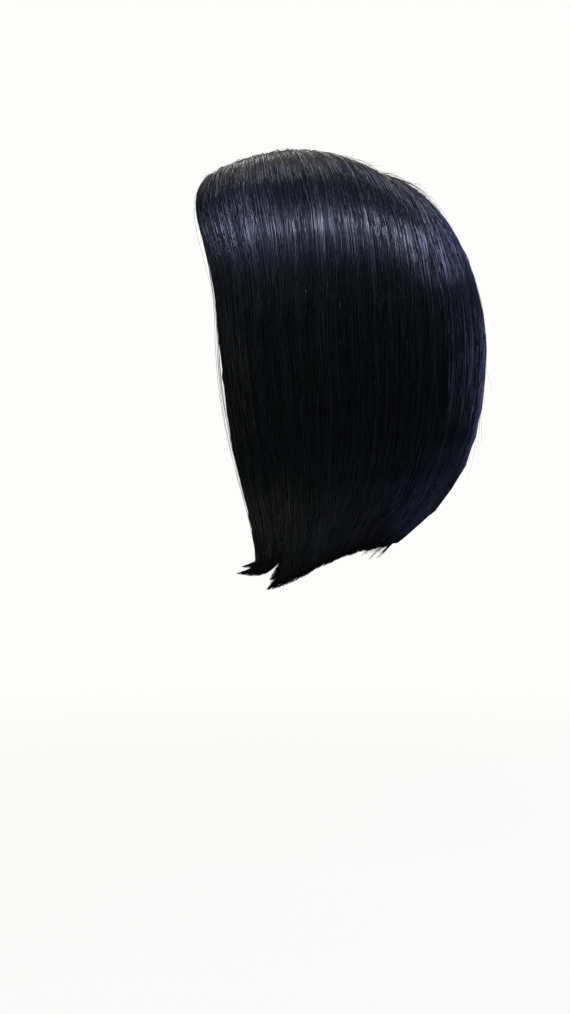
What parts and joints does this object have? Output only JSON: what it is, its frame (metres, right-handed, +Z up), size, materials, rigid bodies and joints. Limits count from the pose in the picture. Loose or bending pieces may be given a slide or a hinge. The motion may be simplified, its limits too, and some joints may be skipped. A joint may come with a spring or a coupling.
{
  "type": "short lace part wig",
  "caption": "Straight black-navy bob wig with hair falling from a lace parting over a net cap, full at the back, tucked in at the nape, with forward-curled front tips.",
  "frame": {"origin": "highest point of the inside of the cap, where the top of the head sits", "axes": "+Z up, -Y towards the wearer's front, +X towards the wearer's left"},
  "size_m": [0.1868, 0.1933, 0.2912],
  "materials": {
    "net": "matt stretch net, black",
    "lace": "fine matt lace, tan",
    "hair": "glossy straight fibre, black with a navy cast"
  },
  "bodies": {
    "root": {"cap": "net", "lace_part": "lace", "hair_left": "hair", "hair_right": "hair", "hair_back": "hair"}
  },
  "joints": []
}
